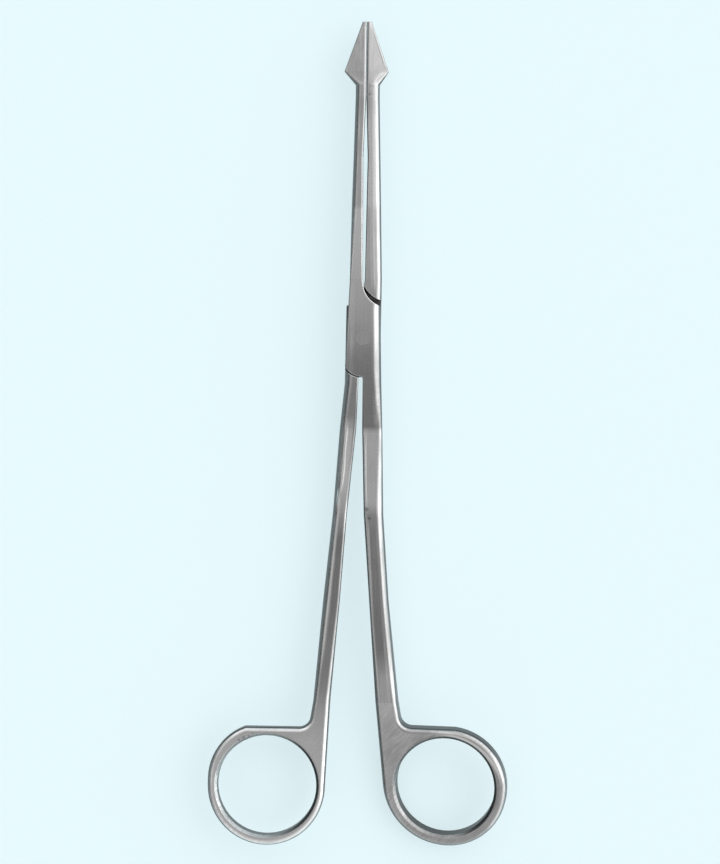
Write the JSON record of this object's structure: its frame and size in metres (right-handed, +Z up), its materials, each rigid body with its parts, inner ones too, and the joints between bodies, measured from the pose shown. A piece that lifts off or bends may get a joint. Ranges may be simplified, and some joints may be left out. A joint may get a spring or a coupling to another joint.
{
  "type": "peritonsillar forceps",
  "caption": "Steel hand forceps with a slim barbed spear-point jaw, a crossed lap joint on a flush screw and two finger rings.",
  "frame": {"origin": "bottom centre of the bounding box of the closed forceps lying on its back", "axes": "+Y from the finger rings towards the spear point, +Z up out of the front face of the joint, +X to the right as seen from the front"},
  "size_m": [0.0689, 0.1896, 0.0095],
  "materials": {
    "forged_steel": "satin ground stainless steel",
    "screw_steel": "satin turned stainless steel"
  },
  "bodies": {
    "front_lever": {"front_half": "forged_steel", "joint_screw": "screw_steel"},
    "back_lever": {"back_half": "forged_steel"}
  },
  "joints": [
    {"name": "lap_hinge", "type": "hinge", "parent": "front_lever", "child": "back_lever", "pos_m": [0, 0.02195, 0.00519], "axis": [0, 0, -1], "range_deg": [0, 45]}
  ]
}
